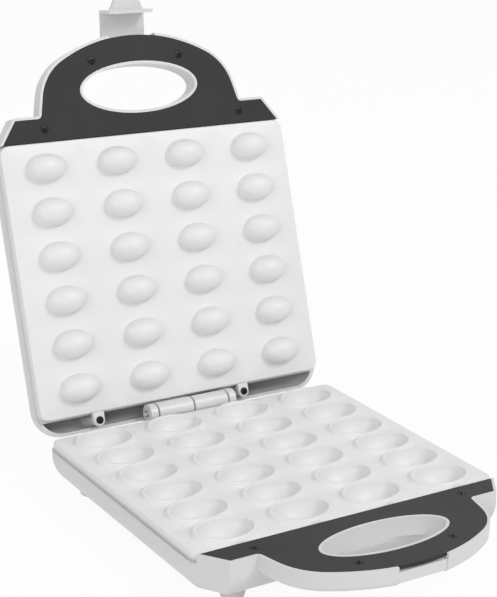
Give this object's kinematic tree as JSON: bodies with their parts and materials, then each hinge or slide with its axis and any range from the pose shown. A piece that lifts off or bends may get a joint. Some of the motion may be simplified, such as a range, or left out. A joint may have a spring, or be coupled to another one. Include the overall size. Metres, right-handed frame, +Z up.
{
  "type": "nut waffle maker",
  "caption": "Electric nut waffle maker: hinged lid open over a plate of half-nut cups, a handle with a finger slot on each half and a swung-out latch.",
  "frame": {"origin": "centre of the bounding box on the table, lid open", "axes": "+X to the right seen from the handles, +Y from the handle to the hinge, +Z up"},
  "size_m": [0.2522, 0.4127, 0.3441],
  "materials": {
    "shell_plastic": "smooth, slightly glossy white",
    "cover_plastic": "dark grey, fine satin grain",
    "plate_coating": "pale satin coating on cast aluminium",
    "dark_screws": "blackened",
    "steel": "plain zinc-plated",
    "heater_sheath": "dull heat-tinted steel",
    "reflector_sheet": "bright sheet",
    "pad_rubber": "matt black",
    "ceramic": "white heat-resistant moulding",
    "wire_sleeve": "pale heat-resistant sleeve"
  },
  "bodies": {
    "base": {"base_shell": "shell_plastic", "base_handle_cover": "cover_plastic", "base_cover_screws": "dark_screws", "base_plate": "plate_coating", "base_plate_screws": "steel", "base_heater": "heater_sheath", "base_heater_clamps": "steel", "base_clamp_screws": "steel", "base_reflector": "reflector_sheet", "base_thermostat": "ceramic", "base_wires": "wire_sleeve", "terminal_block": "ceramic", "earth_screw": "steel", "cord_gland": "pad_rubber", "foot_pads": "pad_rubber", "hinge_pin": "steel", "hinge_lead": "wire_sleeve"},
    "lid": {"lid_shell": "shell_plastic", "lid_handle_cover": "cover_plastic", "lid_cover_screws": "dark_screws", "lid_plate": "plate_coating", "lid_domes": "plate_coating", "lid_plate_screws": "steel", "lid_lug_screws": "dark_screws", "lid_heater": "heater_sheath", "lid_heater_clamps": "steel", "lid_clamp_screws": "steel", "lid_reflector": "reflector_sheet", "lid_thermostat": "ceramic", "lid_wires": "wire_sleeve", "latch_pin": "steel"},
    "latch": {"latch": "shell_plastic"}
  },
  "joints": [
    {"name": "lid_hinge", "type": "hinge", "parent": "base", "child": "lid", "pos_m": [0, 0.08604, 0.0409], "axis": [-1, 0, 0], "range_deg": [-110, 0]},
    {"name": "latch_pivot", "type": "hinge", "parent": "lid", "child": "latch", "pos_m": [0, 0.19412, 0.30453], "axis": [-1, 0, 0], "range_deg": [-76, 14]}
  ]
}
